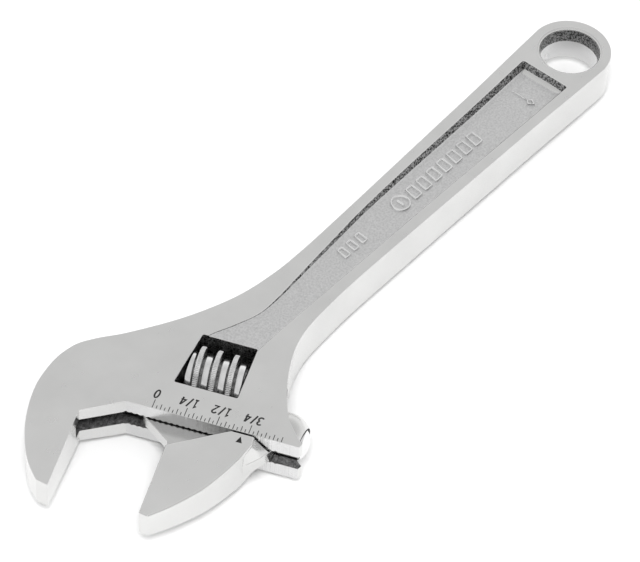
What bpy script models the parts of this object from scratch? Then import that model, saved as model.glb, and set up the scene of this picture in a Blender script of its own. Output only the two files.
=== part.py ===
"""Adjustable wrench, 6 inch class: forged body, sliding jaw with its rack rod, worm knurl, pin and spring.

Driving sizes are in millimetres and lengths in the scene are in metres (MM converts them).
Plan places are taken from the hanging hole, +X along the handle to the jaws. The jaw slides along the
direction S, leaned SKEW from +Y; N is square to S and points to the jaw tips. A place on the head is
given as (n, u), its distances along N and S from the hanging hole.
"""
import math

import bmesh
import bpy
from mathutils import Matrix, Vector

MM = 0.001
SKEW = math.radians(22.5)
S = Vector((-math.sin(SKEW), math.cos(SKEW), 0.0))
N = Vector((math.cos(SKEW), math.sin(SKEW), 0.0))
UP = Vector((0.0, 0.0, 1.0))
GAP = 0.3

# Whole wrench
BOX_CENTRE = (72.25, 0.13)
END_HALF = 4.2
HEAD_HALF = 4.95
HEAD_X = 100.0
EDGE_ROUND = 0.6

# Handle end
END_R = 8.5
HOLE_R = 6.15
HOLE_CHAMFER = 0.5

# Jaws
FIXED_FACE_U = -63.7
OPENING = 17.9
MOVING_FACE_U = FIXED_FACE_U + OPENING
RAIL_N = 116.4
TIP_N = 139.0
TAPER_N = 117.5
TIP_HALF = 3.2

# Rack rod, its bore and the web slot
ROD_N = 111.8
ROD_R = 2.9
ROD_START_U = -50.6
BORE_END_U = ROD_START_U - OPENING - 0.5
BOSS_N = 111.3
BOSS_R = 4.8
BOSS_U = -26.0
WEB_HALF = 1.45
SLOT_HALF = WEB_HALF + GAP

# Knurl, window, pin and spring
KNURL_N = 103.3
KNURL_R = 6.35
KNURL_ROOT_R = 5.2
KNURL_START_U = -47.7
KNURL_END_U = -36.75
PITCH = 3.3
CREST_PHASE_U = -45.0
CREST_WIDTH = 1.15
THREAD_FOOT_WIDTH = 1.4
RACK_GROOVE = 2.2
RACK_FLOOR_GAP = 0.4
KNURL_CLEARANCE = 0.4
WINDOW_N = (96.3, 109.0)
WINDOW_U = (-48.2, -36.4)
WINDOW_LEAN_U = (-47.4, -49.0)
WINDOW_CORNER = 0.6
PIN_R = 1.5
PIN_START_U = -53.0
PIN_HEAD_R = 2.3
PIN_HEAD_U = (-31.4, -29.4)
DRIVER_SLOT = (0.8, 0.8)
SPRING_R = 2.15
SPRING_WIRE_R = 0.2
SPRING_TURNS = 4
COUNTERBORE_R = 2.7
COUNTERBORE_DEPTH = 4.0

# Recessed panel on each face of the handle
FLOOR_Z = (2.55, 4.45)
FLOOR_X = (8.0, 95.0)
PANEL_DRAFT = 0.55
PANEL_CORNER = 1.2

# How far a cutting shape runs on past the surface that it opens
CLEAR = 1.0
FINE_STEPS = 40
SMALL_STEPS = 24


# ---------------------------------------------------------------- places and outlines

def plan(n, u):
    """Plan place of (n, u), in millimetres from the hanging hole."""
    place = N * n + S * u
    return place.x, place.y


def arc(centre, radius, start, end, count):
    """Points on an arc, angles in degrees."""
    step = (end - start) / count
    angles = [math.radians(start + step * i) for i in range(count + 1)]
    return [(centre[0] + radius * math.cos(a), centre[1] + radius * math.sin(a)) for a in angles]


def smooth(points, steps=3):
    """A smooth curve through the points: a Catmull-Rom spline read at even steps."""
    knots = [Vector(p) for p in points]
    knots = [knots[0] * 2 - knots[1]] + knots + [knots[-1] * 2 - knots[-2]]
    curve = []
    for a, b, c, d in zip(knots, knots[1:], knots[2:], knots[3:]):
        for i in range(steps):
            t = i / steps
            bend = (2 * a - 5 * b + 4 * c - d) * t + (3 * b - a - 3 * c + d) * t * t
            curve.append(tuple(b + (c - a + bend) * t / 2))
    curve.append(tuple(knots[-2]))
    return curve


def round_corner(before, corner, after, radius, steps=3):
    """Points of an arc-like curve of about the given radius that stands in for one corner."""
    here = Vector(corner)
    back = (Vector(before) - here).normalized() * radius + here
    ahead = (Vector(after) - here).normalized() * radius + here
    parts = [i / steps for i in range(steps + 1)]
    return [tuple(back.lerp(here, t).lerp(here.lerp(ahead, t), t)) for t in parts]


def rounded(corners, radius, steps=3):
    """A closed outline with every corner rounded."""
    outline = []
    for i, corner in enumerate(corners):
        outline += round_corner(corners[i - 1], corner, corners[(i + 1) % len(corners)], radius, steps)
    return outline


def inset(outline, distance):
    """The outline moved inward, each corner along the mean of its two edge normals."""
    area = sum(a[0] * b[1] - a[1] * b[0] for a, b in zip(outline, outline[1:] + outline[:1]))
    side = 1 if area > 0 else -1
    moved = []
    for i, corner in enumerate(outline):
        here = Vector(corner)
        before = (here - Vector(outline[i - 1])).normalized()
        after = (Vector(outline[(i + 1) % len(outline)]) - here).normalized()
        mean = (before + after).normalized()
        reach = distance / max(0.5, mean.dot(after))
        moved.append(tuple(here + Vector((-mean.y, mean.x)) * side * reach))
    return moved


# ---------------------------------------------------------------- objects and modifiers

def clear_scene():
    for item in list(bpy.data.objects):
        bpy.data.objects.remove(item, do_unlink=True)


def collection(name):
    made = bpy.data.collections.new(name)
    bpy.context.scene.collection.children.link(made)
    return made


def material(name, colour, roughness):
    made = bpy.data.materials.new(name)
    made.use_nodes = True
    shader = made.node_tree.nodes["Principled BSDF"]
    shader.inputs["Base Color"].default_value = (*colour, 1.0)
    shader.inputs["Metallic"].default_value = 1.0
    shader.inputs["Roughness"].default_value = roughness
    return made


def mesh_from(item):
    """Replace an object by a plain mesh object of its evaluated shape, with its seams welded."""
    bpy.context.view_layer.update()
    graph = bpy.context.evaluated_depsgraph_get()
    mesh = bpy.data.meshes.new_from_object(item.evaluated_get(graph))
    edit = bmesh.new()
    edit.from_mesh(mesh)
    bmesh.ops.remove_doubles(edit, verts=edit.verts, dist=0.000002)
    bmesh.ops.dissolve_limit(edit, angle_limit=0.001, verts=edit.verts, edges=edit.edges)
    bmesh.ops.recalc_face_normals(edit, faces=edit.faces)
    edit.to_mesh(mesh)
    edit.free()
    solid = bpy.data.objects.new(item.name, mesh)
    solid.matrix_world = item.matrix_world
    for owner in item.users_collection:
        owner.objects.link(solid)
    name = item.name
    bpy.data.objects.remove(item, do_unlink=True)
    solid.name = name
    return solid


def plate(name, outline, half, where, middle=0.0):
    """A flat outline given in millimetres, extruded to middle plus and minus half."""
    curve = bpy.data.curves.new(name, "CURVE")
    curve.dimensions = "2D"
    curve.fill_mode = "BOTH"
    curve.extrude = half * MM
    line = curve.splines.new("POLY")
    line.points.add(len(outline) - 1)
    for point, (x, y) in zip(line.points, outline):
        point.co = (x * MM, y * MM, 0.0, 1.0)
    line.use_cyclic_u = True
    item = bpy.data.objects.new(name, curve)
    item.location = (0.0, 0.0, middle * MM)
    where.objects.link(item)
    return mesh_from(item)


def turned(name, profile, where, steps=32):
    """A profile of (radius, height) in millimetres, top to bottom, turned about the local Z axis."""
    mesh = bpy.data.meshes.new(name)
    edges = [(i, i + 1) for i in range(len(profile) - 1)]
    mesh.from_pydata([(r * MM, 0.0, h * MM) for r, h in profile], edges, [])
    item = bpy.data.objects.new(name, mesh)
    where.objects.link(item)
    screw = item.modifiers.new("Turn", "SCREW")
    screw.steps = steps
    screw.render_steps = steps
    screw.use_merge_vertices = True
    screw.merge_threshold = 0.000005
    return item


def shaft(name, profile, n, where, steps=32):
    """A turned profile whose axis lies along S at the distance n, with heights read as u."""
    item = turned(name, profile, where, steps)
    item.matrix_world = slide_frame(n)
    return item


def slide_frame(n, u=0.0):
    """Frame on the middle plane at (n, u): local Z along S and local X along N."""
    turn = Matrix((N, -UP, S)).transposed().to_4x4()
    x, y = plan(n, u)
    return Matrix.Translation((x * MM, y * MM, 0.0)) @ turn


def block(name, low, high, n, where):
    """A box in the slide frame at n, between two corners (along N, along -Z, along S)."""
    bpy.ops.mesh.primitive_cube_add(size=1.0)
    item = bpy.context.object
    item.name = name
    for owner in list(item.users_collection):
        owner.objects.unlink(item)
    where.objects.link(item)
    size = [(b - a) * MM for a, b in zip(low, high)]
    middle = Vector([(a + b) / 2 * MM for a, b in zip(low, high)])
    item.data.transform(Matrix.Translation(middle) @ Matrix.Diagonal((*size, 1.0)))
    item.matrix_world = slide_frame(n)
    return item


def combine(item, operation, other):
    cut = item.modifiers.new(f"{operation.title()} {other.name}", "BOOLEAN")
    cut.operation = operation
    cut.solver = "EXACT"
    cut.object = other
    other.hide_render = True
    other.display_type = "WIRE"


def round_edges(item, width, segments=2, angle=35):
    bevel = item.modifiers.new("Rounded edges", "BEVEL")
    bevel.width = width * MM
    bevel.segments = segments
    bevel.limit_method = "ANGLE"
    bevel.angle_limit = math.radians(angle)


def split_at(item, place, normal):
    """Add an edge loop where a plane, placed in millimetres, meets the mesh."""
    edit = bmesh.new()
    edit.from_mesh(item.data)
    everything = edit.verts[:] + edit.edges[:] + edit.faces[:]
    spot = Vector((place[0] * MM, place[1] * MM, 0.0))
    bmesh.ops.bisect_plane(edit, geom=everything, plane_co=spot, plane_no=normal, dist=0.000001)
    edit.to_mesh(item.data)
    edit.free()


def half_thickness(x, y):
    """Half the thickness of the forgings at a plan place in millimetres."""
    along = min(max(x / HEAD_X, 0.0), 1.0)
    forging = END_HALF + (HEAD_HALF - END_HALF) * along
    out = (x * N.x + y * N.y - TAPER_N) / (TIP_N - TAPER_N)
    return forging - (HEAD_HALF - TIP_HALF) * max(out, 0.0)


def thin_down(item):
    """Lean the faces of a plate to the forging's thickness, in flat stretches."""
    for place, normal in (((0.0, 0.0), (1, 0, 0)), ((HEAD_X, 0.0), (1, 0, 0)), (plan(TAPER_N, 0.0), N)):
        split_at(item, place, normal)
    for vertex in item.data.vertices:
        vertex.co.z *= half_thickness(vertex.co.x / MM, vertex.co.y / MM) / HEAD_HALF


# ---------------------------------------------------------------- body

def body_outline():
    """The forging's outline from the handle end, round the fixed jaw and back along the shoulder."""
    edge = [(8.3, -8.2), (20.7, -7.7), (36.1, -7.3), (51.4, -6.9), (65.0, -6.55), (78.6, -6.35)]
    edge += [(87.6, -6.8), (96.6, -8.5), (106.5, -12.4), (116.1, -17.8), (121.5, -21.6)]
    edge += [(125.6, -23.6), (131.2, -23.9), (138.3, -22.1), (145.2, -18.0), (150.4, -12.7), (153.1, -7.7)]
    throat = [(152.3, -5.9), plan(121.1, FIXED_FACE_U), plan(RAIL_N, -56.0), plan(RAIL_N, -21.9)]
    throat += [plan(115.5, -21.6), plan(114.6, -22.6)]
    shoulder = [plan(110.9, -25.6), (109.1, 15.6), (104.5, 12.0), (100.0, 9.4), (96.4, 7.9), (91.5, 6.9)]
    shoulder += [(84.0, 6.45), (76.5, 6.35), (64.0, 6.6), (51.4, 6.9), (36.1, 7.3), (20.7, 7.7), (8.3, 8.2)]
    end = arc((0.0, 0.0), END_R, 92.0, 268.0, 22)
    return end + smooth(edge) + throat + smooth(shoulder)


def panel_outline():
    """The recessed panel's outline, run on into the knurl's window."""
    low = [(10.0, -5.6), (25.9, -5.25), (46.3, -5.0), (61.5, -4.6), (71.6, -3.9), (81.6, -3.1)]
    low += [(91.6, -2.3), (96.5, -2.5), (101.5, -4.0), (105.4, -5.6), (109.0, -6.6)]
    high = [(105.2, 3.6), (96.5, 3.6), (76.5, 4.1), (61.5, 4.4), (46.3, 4.8), (31.0, 5.3), (10.0, 5.8)]
    high_corner, low_corner = (8.4, 5.8), (8.4, -5.6)
    end = round_corner(high[-1], high_corner, low_corner, PANEL_CORNER)
    end += round_corner(high_corner, low_corner, low[0], PANEL_CORNER)
    return end + smooth(low, 2) + smooth(high, 2)[:-1]


def panel_cutter(side, where):
    """The space above one panel's floor: drafted walls and a floor that rises towards the head."""
    outline = panel_outline()
    slope = inset(outline, PANEL_DRAFT)
    item = plate(f"panel_space_{side}", outline, 1.0, where)
    rise = (FLOOR_Z[1] - FLOOR_Z[0]) / (FLOOR_X[1] - FLOOR_X[0])
    for vertex in item.data.vertices:
        place = Vector((vertex.co.x / MM, vertex.co.y / MM))
        nearest = min(range(len(outline)), key=lambda i: (Vector(outline[i]) - place).length)
        mouth = Vector(outline[nearest])
        height = HEAD_HALF + EDGE_ROUND if vertex.co.z > 0 else FLOOR_Z[0] + rise * (mouth.x - FLOOR_X[0])
        depth = half_thickness(*mouth) - height
        x, y = mouth + (Vector(slope[nearest]) - mouth) * depth
        vertex.co = (x * MM, y * MM, height * MM)
    if side == "below":
        item.data.transform(Matrix.Scale(-1.0, 4, UP))
        item.data.flip_normals()
    return item


def hole_cutter(where):
    """The hanging hole with a chamfer at each mouth."""
    clear = END_HALF + CLEAR
    neck = END_HALF - HOLE_CHAMFER
    mouth = HOLE_R + clear - neck
    profile = [(0.0, clear), (mouth, clear), (HOLE_R, neck)]
    profile += [(r, -height) for r, height in reversed(profile)]
    return turned("hole_space", profile, where, FINE_STEPS)


def cylinder(name, radius, start, end, n, where, steps=32):
    """A plain cylinder along S at n, from start to end along u."""
    return shaft(name, [(0.0, end), (radius, end), (radius, start), (0.0, start)], n, where, steps)


def slot_outline():
    """The web's slot: open at the rail and at the far end, with a leaned end inside the fixed jaw."""
    open_n = (RAIL_N + TIP_N) / 2
    places = [(ROD_N, BORE_END_U), (113.9, -70.7), (116.2, -71.3), (120.9, -64.6), (124.6, -63.0)]
    places += [(open_n, -63.0), (open_n, 0.0), (ROD_N, 0.0)]
    return [plan(n, u) for n, u in places]


def boss(where):
    """The round end of the forging about the mouth of the rack bore, kept back from the rail."""
    steps = 15
    angles = [math.pi * i / steps for i in range(steps + 1)]
    profile = [(BOSS_R * math.sin(a), BOSS_U + BOSS_R * math.cos(a)) for a in angles]
    item = shaft("boss", profile, BOSS_N, where)
    low = (RAIL_N - BOSS_N, -2 * BOSS_R, BOSS_U - 2 * BOSS_R)
    high = (2 * BOSS_R, 2 * BOSS_R, BOSS_U + 2 * BOSS_R)
    combine(item, "DIFFERENCE", block("rail_side_space", low, high, BOSS_N, where))
    return item


def window_outline():
    """The knurl's window, its side nearest the fixed jaw leaned."""
    corners = [plan(WINDOW_N[0], WINDOW_LEAN_U[0]), plan(WINDOW_N[0], WINDOW_U[1])]
    corners += [plan(WINDOW_N[1], WINDOW_U[1]), plan(WINDOW_N[1], WINDOW_LEAN_U[1])]
    return rounded(corners, WINDOW_CORNER, 2)


def pin_space(where):
    """Room for the pin, with a wider seat for its head that opens on the shoulder."""
    start, seat, outside = PIN_START_U - GAP, PIN_HEAD_U[0] - GAP, BOSS_U + 2 * BOSS_R
    shank, head = PIN_R + GAP, PIN_HEAD_R + GAP
    profile = [(0.0, outside), (head, outside), (head, seat), (shank, seat), (shank, start), (0.0, start)]
    return shaft("pin_space", profile, KNURL_N, where, SMALL_STEPS)


def cut_shaft_spaces(body, cutters):
    """Room for the knurl, the rack rod with its web, and the pin."""
    outside = BOSS_U + 2 * BOSS_R
    spaces = [cylinder("knurl_space", KNURL_R + KNURL_CLEARANCE, *WINDOW_U, KNURL_N, cutters, FINE_STEPS)]
    spaces.append(cylinder("bore_space", ROD_R + GAP, BORE_END_U, outside, ROD_N, cutters))
    spaces.append(plate("slot_space", slot_outline(), SLOT_HALF, cutters))
    spaces.append(pin_space(cutters))
    for space in spaces:
        combine(body, "DIFFERENCE", space)


def make_body(where, cutters, finish):
    body = plate("body", body_outline(), HEAD_HALF, where)
    thin_down(body)
    round_edges(body, EDGE_ROUND)
    combine(body, "UNION", boss(cutters))
    combine(body, "DIFFERENCE", plate("window_space", window_outline(), HEAD_HALF + CLEAR, cutters))
    for side in ("above", "below"):
        combine(body, "DIFFERENCE", panel_cutter(side, cutters))
    combine(body, "DIFFERENCE", hole_cutter(cutters))
    cut_shaft_spaces(body, cutters)
    body.data.materials.append(finish)
    return body


# ---------------------------------------------------------------- movable jaw

def jaw_outline():
    """The thick part of the movable jaw: face, tip, curved back, foot on the rail and corner facet."""
    foot = RAIL_N + GAP
    back = [(139.3, -43.9), (136.6, -41.0), (133.1, -37.9), (129.4, -35.2), (123.3, -32.1), (118.4, -30.4)]
    places = [(123.2, MOVING_FACE_U), (TIP_N, MOVING_FACE_U)] + smooth(back)
    places += [(foot, -30.5), (foot, -35.3)]
    return [plan(n, u) for n, u in places]


def web_outline():
    """The thin web from the rod out into the jaw, leaned at the end nearest the fixed jaw."""
    places = [(ROD_N, ROD_START_U), (114.6, -52.4), (115.9, -52.8), (120.3, -46.5), (124.0, -45.2)]
    places += [(123.5, -34.5), (120.6, -30.4), (118.4, -28.6), (116.4, -27.4), (ROD_N, -27.0)]
    return [plan(n, u) for n, u in places]


def rod_profile():
    """The rack rod: its outer end rounded like the boss around it, its inner end chamfered."""
    chamfer = 0.5
    edge = math.asin(ROD_R / BOSS_R)
    dome = [(BOSS_R * math.sin(edge * i / 4), BOSS_U + BOSS_R * math.cos(edge * i / 4)) for i in range(5)]
    return dome + [(ROD_R, ROD_START_U + chamfer), (ROD_R - chamfer, ROD_START_U), (0.0, ROD_START_U)]


def rack_cutters(where):
    """One groove for each turn of the knurl's thread that can meet the rod."""
    floor = KNURL_N + KNURL_R + RACK_FLOOR_GAP - ROD_N
    first = math.ceil((ROD_START_U + RACK_GROOVE / 2 - CREST_PHASE_U) / PITCH)
    last = math.floor((BOSS_U + BOSS_R + RACK_GROOVE / 2 - CREST_PHASE_U) / PITCH)
    grooves = []
    for turn in range(first, last + 1):
        u = CREST_PHASE_U + turn * PITCH
        low = (-ROD_R - CLEAR, -ROD_R - CLEAR, u - RACK_GROOVE / 2)
        high = (floor, ROD_R + CLEAR, u + RACK_GROOVE / 2)
        grooves.append(block(f"rack_space_{turn - first}", low, high, ROD_N, where))
    return grooves


def make_jaw(where, cutters, finish):
    jaw = plate("movable_jaw", jaw_outline(), HEAD_HALF, where)
    thin_down(jaw)
    round_edges(jaw, EDGE_ROUND)
    combine(jaw, "UNION", plate("web", web_outline(), WEB_HALF, cutters))
    combine(jaw, "UNION", shaft("rod", rod_profile(), ROD_N, cutters))
    for groove in rack_cutters(cutters):
        combine(jaw, "DIFFERENCE", groove)
    jaw.data.materials.append(finish)
    set_origin(jaw, slide_frame(ROD_N, ROD_START_U).translation)
    return jaw


# ---------------------------------------------------------------- knurl, pin and spring

def thread(where):
    """The knurl's helical ridge, longer than the knurl at both ends and closed there."""
    inside = KNURL_ROOT_R - 0.6
    foot, crest = THREAD_FOOT_WIDTH / 2, CREST_WIDTH / 2
    section = [(inside, foot), (KNURL_R, crest), (KNURL_R, -crest), (inside, -foot)]
    before = math.ceil((CREST_PHASE_U - KNURL_START_U) / PITCH) + 1
    turns = before + math.ceil((KNURL_END_U - CREST_PHASE_U) / PITCH) + 1
    start = CREST_PHASE_U - before * PITCH
    ridge = turned("thread", [(r, h + start) for r, h in section], where, 32)
    ridge.data.edges.add(1)
    ridge.data.edges[-1].vertices = (3, 0)
    screw = ridge.modifiers["Turn"]
    screw.screw_offset = PITCH * MM
    screw.iterations = turns
    screw.use_merge_vertices = False
    ridge.matrix_world = slide_frame(KNURL_N)
    ridge = mesh_from(ridge)
    edit = bmesh.new()
    edit.from_mesh(ridge.data)
    bmesh.ops.holes_fill(edit, edges=edit.edges, sides=4)
    bmesh.ops.recalc_face_normals(edit, faces=edit.faces)
    edit.to_mesh(ridge.data)
    edit.free()
    return ridge


def make_knurl(where, cutters, finish):
    start, end = KNURL_START_U, KNURL_END_U
    knurl = cylinder("knurl", KNURL_ROOT_R, start - CLEAR, end + CLEAR, KNURL_N, where)
    combine(knurl, "UNION", thread(cutters))
    limit = cylinder("knurl_limit", KNURL_R + CLEAR, start, end, KNURL_N, cutters)
    combine(knurl, "INTERSECT", limit)
    bore_r = PIN_R + GAP
    bore = cylinder("knurl_bore", bore_r, start - CLEAR, end + CLEAR, KNURL_N, cutters, SMALL_STEPS)
    combine(knurl, "DIFFERENCE", bore)
    floor = end - COUNTERBORE_DEPTH
    well = cylinder("spring_well", COUNTERBORE_R, floor, end + CLEAR, KNURL_N, cutters, SMALL_STEPS)
    combine(knurl, "DIFFERENCE", well)
    knurl.data.materials.append(finish)
    return knurl


def make_pin(where, cutters, finish):
    """The knurl's pin: a plain shank and a slotted head sunk in the shoulder."""
    low, high = PIN_HEAD_U
    chamfer = 0.3
    profile = [(0.0, high), (PIN_HEAD_R - chamfer, high), (PIN_HEAD_R, high - chamfer)]
    profile += [(PIN_HEAD_R, low), (PIN_R, low), (PIN_R, PIN_START_U + chamfer)]
    profile += [(PIN_R - chamfer, PIN_START_U), (0.0, PIN_START_U)]
    pin = shaft("knurl_pin", profile, KNURL_N, where, SMALL_STEPS)
    width, depth = DRIVER_SLOT
    low = (-width / 2, -PIN_HEAD_R - CLEAR, high - depth)
    high = (width / 2, PIN_HEAD_R + CLEAR, high + CLEAR)
    combine(pin, "DIFFERENCE", block("driver_slot_space", low, high, KNURL_N, cutters))
    pin.data.materials.append(finish)
    return pin


def make_spring(where, finish):
    """A small coil round the pin, held in the well at the knurl's end."""
    start = KNURL_END_U - COUNTERBORE_DEPTH + GAP + SPRING_WIRE_R
    end = KNURL_END_U - SPRING_WIRE_R
    curve = bpy.data.curves.new("knurl_spring", "CURVE")
    curve.dimensions = "3D"
    curve.bevel_depth = SPRING_WIRE_R * MM
    curve.bevel_resolution = 1
    curve.use_fill_caps = True
    line = curve.splines.new("POLY")
    points_per_turn = 14
    count = SPRING_TURNS * points_per_turn
    line.points.add(count)
    for i, point in enumerate(line.points):
        part = i / count
        turn = 2 * math.pi * SPRING_TURNS * part
        height = start + (end - start) * part
        point.co = (SPRING_R * MM * math.cos(turn), SPRING_R * MM * math.sin(turn), height * MM, 1.0)
    spring = bpy.data.objects.new("knurl_spring", curve)
    where.objects.link(spring)
    spring.matrix_world = slide_frame(KNURL_N)
    spring = mesh_from(spring)
    spring.data.materials.append(finish)
    return spring


# ---------------------------------------------------------------- assembly

def set_origin(item, place):
    """Move an object's origin to a world place without moving its shape."""
    shift = Matrix.Translation(place)
    item.data.transform(shift.inverted() @ item.matrix_world)
    item.matrix_world = shift


def main():
    clear_scene()
    parts = collection("adjustable_wrench")
    cutters = collection("cutters")
    chrome = material("chrome", (0.80, 0.80, 0.79), 0.28)
    jaw_chrome = material("jaw_chrome", (0.80, 0.80, 0.79), 0.26)
    knurl_steel = material("knurl_steel", (0.78, 0.78, 0.77), 0.3)
    pin_steel = material("pin_steel", (0.62, 0.62, 0.62), 0.35)
    spring_steel = material("spring_steel", (0.5, 0.5, 0.5), 0.35)

    make_body(parts, cutters, chrome)
    make_jaw(parts, cutters, jaw_chrome)
    make_knurl(parts, cutters, knurl_steel)
    make_pin(parts, cutters, pin_steel)
    make_spring(parts, spring_steel)

    stand = bpy.data.objects.new("stand", None)
    parts.objects.link(stand)
    for item in list(parts.objects) + list(cutters.objects):
        if item is not stand:
            item.parent = stand
    stand.location = (-BOX_CENTRE[0] * MM, -BOX_CENTRE[1] * MM, KNURL_R * MM)
    for item in parts.objects:
        if item.type == "MESH":
            item.data.shade_smooth()
            item.data.set_sharp_from_angle(angle=math.radians(35))


main()
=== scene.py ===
"""Looks of the adjustable wrench: forged body, sliding jaw, worm knurl, its pin and its spring.

Shapes are made in millimetres about the hanging hole's centre, +X along the handle to the jaws, and are
put in the row frame at the end. The jaw slides along S, leaned SKEW from +Y; N is square to S and points
to the jaw tips. A place on the head is (n, u), its distances along N and S from the hole.
"""
import math

import bmesh
import bpy
from mathutils import Matrix, Vector


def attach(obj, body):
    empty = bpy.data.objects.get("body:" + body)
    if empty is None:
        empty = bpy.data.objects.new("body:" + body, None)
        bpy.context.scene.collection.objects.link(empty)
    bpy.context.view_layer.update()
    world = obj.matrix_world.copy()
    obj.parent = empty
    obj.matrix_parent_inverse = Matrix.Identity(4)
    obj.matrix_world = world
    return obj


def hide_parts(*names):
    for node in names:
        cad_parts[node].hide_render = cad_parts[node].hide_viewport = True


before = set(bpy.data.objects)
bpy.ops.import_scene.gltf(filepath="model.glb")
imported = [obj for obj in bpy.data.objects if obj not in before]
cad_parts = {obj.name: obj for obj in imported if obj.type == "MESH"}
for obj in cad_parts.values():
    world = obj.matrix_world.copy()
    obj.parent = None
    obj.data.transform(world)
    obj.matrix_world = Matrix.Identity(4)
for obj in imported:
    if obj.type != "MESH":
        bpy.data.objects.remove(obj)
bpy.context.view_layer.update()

MM = 0.001
HOLE_PLACE = Vector((-72.25, -0.13, 6.35))
SKEW = math.radians(22.5)
S = Vector((-math.sin(SKEW), math.cos(SKEW), 0.0))
N = Vector((math.cos(SKEW), math.sin(SKEW), 0.0))
UP = Vector((0.0, 0.0, 1.0))
GAP = 0.3

END_HALF = 4.2
HEAD_HALF = 4.95
HEAD_X = 100.0
END_R = 8.5
HOLE_R = 6.15

FIXED_FACE_U = -63.7
OPENING = 17.9
MOVING_FACE_U = FIXED_FACE_U + OPENING
RAIL_N = 116.4
TIP_N = 139.0
TAPER_N = 117.5
TIP_HALF = 3.2

ROD_N = 111.8
ROD_R = 2.9
ROD_START_U = -50.6
BORE_END_U = ROD_START_U - OPENING - 0.5
BOSS_N = 111.3
BOSS_R = 4.8
BOSS_U = -26.0
WEB_HALF = 1.45
SLOT_HALF = WEB_HALF + GAP

KNURL_N = 103.3
KNURL_R = 6.35
KNURL_ROOT_R = 5.2
KNURL_CORE_R = 4.3
KNURL_START_U = -47.7
KNURL_END_U = -36.75
PITCH = 3.3
CREST_PHASE_U = -45.0
RACK_GROOVE = 2.2
RACK_FLOOR_GAP = 0.4
KNURL_CLEARANCE = 0.4
WINDOW_N = (96.3, 109.0)
WINDOW_U = (-48.2, -36.4)
WINDOW_LEAN_U = (-47.4, -49.0)
PIN_R = 1.5
PIN_START_U = -53.0
PIN_HEAD_R = 2.3
PIN_HEAD_U = (-31.4, -29.4)
SPRING_R = 2.15
SPRING_WIRE_R = 0.2
SPRING_TURNS = 4
WELL_R = 2.7
WELL_DEPTH = 4.0

FLOOR_Z = (2.55, 4.45)
FLOOR_X = (8.0, 95.0)
PANEL_DRAFT = 0.55
PANEL_END_X = 8.4
HOLE_CHAMFER = 0.5
PAINT_DEPTH = 0.12

QUARTER_INCH = 6.35
SCALE_ZERO_U = -50.9

# Finishes, by their place in FINISHES
# The wall and slot finishes are painted shade: their dark colour stands for the shade in recesses,
# openings, bores and the slot
SATIN, SIDE, FLOOR, SHADED_WALL, SHADED_STEEL, RAIL, PAINT, KNURL, CREST, PIN, SPRING = range(11)


# ---------------------------------------------------------------- places and outlines

def plan(n, u):
    place = N * n + S * u
    return place.x, place.y


def to_nu(place):
    return place.dot(N), place.dot(S)


def arc(centre, radius, start, end, count):
    step = (end - start) / count
    angles = [math.radians(start + step * i) for i in range(count + 1)]
    return [(centre[0] + radius * math.cos(a), centre[1] + radius * math.sin(a)) for a in angles]


def smooth(points, steps=8):
    """A Catmull-Rom curve through the points."""
    knots = [Vector(p) for p in points]
    knots = [knots[0] * 2 - knots[1]] + knots + [knots[-1] * 2 - knots[-2]]
    curve = []
    for a, b, c, d in zip(knots, knots[1:], knots[2:], knots[3:]):
        for i in range(steps):
            t = i / steps
            bend = (2 * a - 5 * b + 4 * c - d) * t + (3 * b - a - 3 * c + d) * t * t
            curve.append(tuple(b + (c - a + bend) * t / 2))
    curve.append(tuple(knots[-2]))
    return curve


def corner(before, here, after, radius, steps=4):
    """Points that round one corner of an outline."""
    here = Vector(here)
    back = (Vector(before) - here).normalized() * radius + here
    ahead = (Vector(after) - here).normalized() * radius + here
    parts = [j / steps for j in range(steps + 1)]
    return [tuple(back.lerp(here, t).lerp(here.lerp(ahead, t), t)) for t in parts]


def rounded(corners, radius, steps=4):
    outline = []
    for i, here in enumerate(corners):
        outline += corner(corners[i - 1], here, corners[(i + 1) % len(corners)], radius, steps)
    return outline


def miters(outline):
    """Inward vectors that move each point of a closed outline by one unit from both of its edges."""
    area = sum(a[0] * b[1] - a[1] * b[0] for a, b in zip(outline, outline[1:] + outline[:1]))
    side = 1 if area > 0 else -1
    moves = []
    for i, here in enumerate(outline):
        before = (Vector(here) - Vector(outline[i - 1])).normalized()
        after = (Vector(outline[(i + 1) % len(outline)]) - Vector(here)).normalized()
        mean = (before + after).normalized()
        moves.append(Vector((-mean.y, mean.x)) * side / max(0.5, mean.dot(after)))
    return moves


def half_thickness(x, y):
    along = min(max(x / HEAD_X, 0.0), 1.0)
    forging = END_HALF + (HEAD_HALF - END_HALF) * along
    out = (x * N.x + y * N.y - TAPER_N) / (TIP_N - TAPER_N)
    return forging - (HEAD_HALF - TIP_HALF) * max(out, 0.0)


def floor_height(x):
    rise = (FLOOR_Z[1] - FLOOR_Z[0]) / (FLOOR_X[1] - FLOOR_X[0])
    return FLOOR_Z[0] + rise * (x - FLOOR_X[0])


# ---------------------------------------------------------------- mesh building

def new_object(name, mesh):
    for finish in FINISHES:
        mesh.materials.append(finish)
    item = bpy.data.objects.new(name, mesh)
    bpy.context.scene.collection.objects.link(item)
    return item


def from_bmesh(name, edit):
    bmesh.ops.recalc_face_normals(edit, faces=edit.faces)
    mesh = bpy.data.meshes.new(name)
    edit.to_mesh(mesh)
    edit.free()
    return new_object(name, mesh)


def loft(name, rings, finish, cap_finish=None):
    """A skin over rings of points with equal counts. finish is one index, or one for each band."""
    edit = bmesh.new()
    add_loft(edit, rings, finish, cap_finish=cap_finish)
    return from_bmesh(name, edit)


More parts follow.
